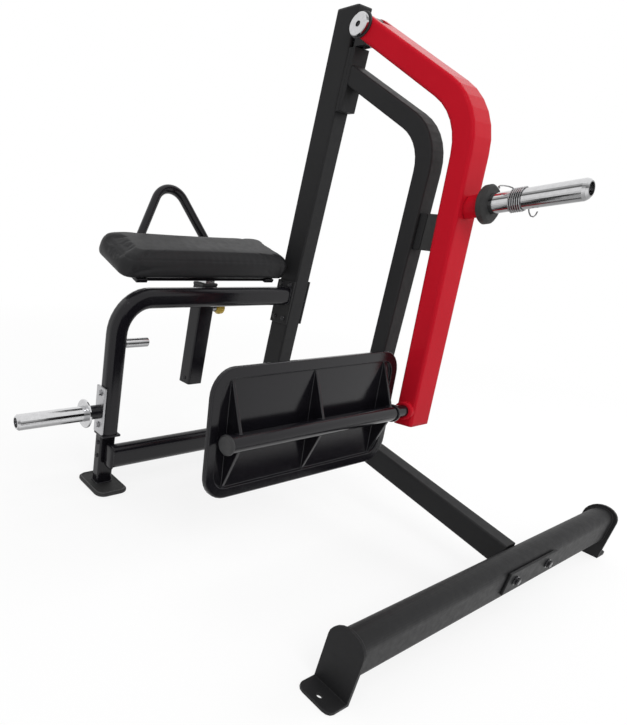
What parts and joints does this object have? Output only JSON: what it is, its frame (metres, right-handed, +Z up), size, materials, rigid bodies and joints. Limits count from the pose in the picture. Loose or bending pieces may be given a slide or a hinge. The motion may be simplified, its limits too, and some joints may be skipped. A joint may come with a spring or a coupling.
{
  "type": "hip extension machine",
  "caption": "Free-standing hip extension machine: a hinged arm with a foot plate and weight horn, a tilted body pad on a height post, and a storage horn.",
  "frame": {"origin": "on the floor under the middle of the tall column", "axes": "+X from the pad side to the arm side, +Y from the long foot bar towards the column and handle, +Z up"},
  "size_m": [1.6247, 1.2986, 1.4923],
  "materials": {
    "charcoal_paint": "satin",
    "black_paint": "gloss",
    "red_paint": "gloss",
    "chrome_plate": "polished",
    "zinc_steel": "satin",
    "black_rubber": "matt",
    "black_plastic": "matt",
    "yellow_plastic": "satin",
    "black_vinyl": "satin"
  },
  "bodies": {
    "frame": {"band_peg": "chrome_plate", "beam_back_plate": "charcoal_paint", "beam_flange_plate": "charcoal_paint", "bracket_bolt_lower": "zinc_steel", "bracket_bolt_upper": "zinc_steel", "bumper_block": "black_rubber", "bumper_mount": "charcoal_paint", "column_cap": "black_plastic", "column_foot_plate": "charcoal_paint", "column_tube": "charcoal_paint", "end_plate_left": "charcoal_paint", "end_plate_right": "charcoal_paint", "foot_bar": "charcoal_paint", "horn_bracket": "zinc_steel", "horn_disc": "chrome_plate", "horn_neck": "black_paint", "horn_sleeve": "chrome_plate", "left_post": "black_paint", "leg_beam_tube": "black_paint", "long_base_tube": "charcoal_paint", "long_tube_flange": "charcoal_paint", "pad_sleeve": "black_paint", "pin_barrel": "zinc_steel", "pivot_cap_left": "chrome_plate", "pivot_cap_right": "chrome_plate", "pivot_disc_left": "black_plastic", "pivot_disc_right": "black_plastic", "pivot_lug": "black_paint", "pivot_shaft": "zinc_steel", "post_collar": "black_paint", "rubber_foot": "black_rubber", "saddle_bolt_left": "zinc_steel", "saddle_bolt_right": "zinc_steel", "saddle_plate": "charcoal_paint", "side_base_tube": "black_paint", "side_tube_cap": "black_paint", "side_tube_flange": "charcoal_paint", "sleeve_guide": "black_plastic", "support_foot": "charcoal_paint", "support_plate_front": "charcoal_paint", "support_plate_rear": "charcoal_paint", "support_tube": "black_paint"},
    "arm": {"arm_tube": "red_paint", "arm_end_cap": "red_paint", "weight_horn_neck": "red_paint", "horn_rubber_ring": "black_rubber", "weight_horn_sleeve": "chrome_plate", "plate_axle": "black_paint", "axle_end_cap": "black_plastic"},
    "foot_plate": {"foot_plate": "black_paint"},
    "clip": {"spring_clip": "zinc_steel"},
    "pad": {"pad_post": "chrome_plate", "pad_cross_bar": "black_paint", "pad_rail_left": "black_paint", "pad_rail_right": "black_paint", "pad_rear_bar": "black_paint", "pad_board": "black_plastic", "pad_cushion": "black_vinyl", "handle_tube": "black_paint"},
    "pull_pin": {"pull_pin": "yellow_plastic"}
  },
  "joints": [
    {"name": "arm_swing", "type": "hinge", "parent": "frame", "child": "arm", "pos_m": [0, -0.0762, 1.4302], "axis": [-1, 0, 0], "range_deg": [0, 62]},
    {"name": "plate_swivel", "type": "hinge", "parent": "arm", "child": "foot_plate", "pos_m": [-0.41775, -0.549, 0.402], "axis": [1, 0, 0], "range_deg": [-12, 12]},
    {"name": "clip_slide", "type": "slide", "parent": "arm", "child": "clip", "axis": [0, -0.9787, 0.2055], "range_m": [-0.014, 0.09]},
    {"name": "pad_height", "type": "slide", "parent": "frame", "child": "pad", "axis": [0, 0, 1], "range_m": [0, 0.15]},
    {"name": "pin_pull", "type": "slide", "parent": "frame", "child": "pull_pin", "axis": [1, 0, 0], "range_m": [0, 0.012], "stiffness_N_per_m": 1500, "springref_m": -0.004}
  ]
}
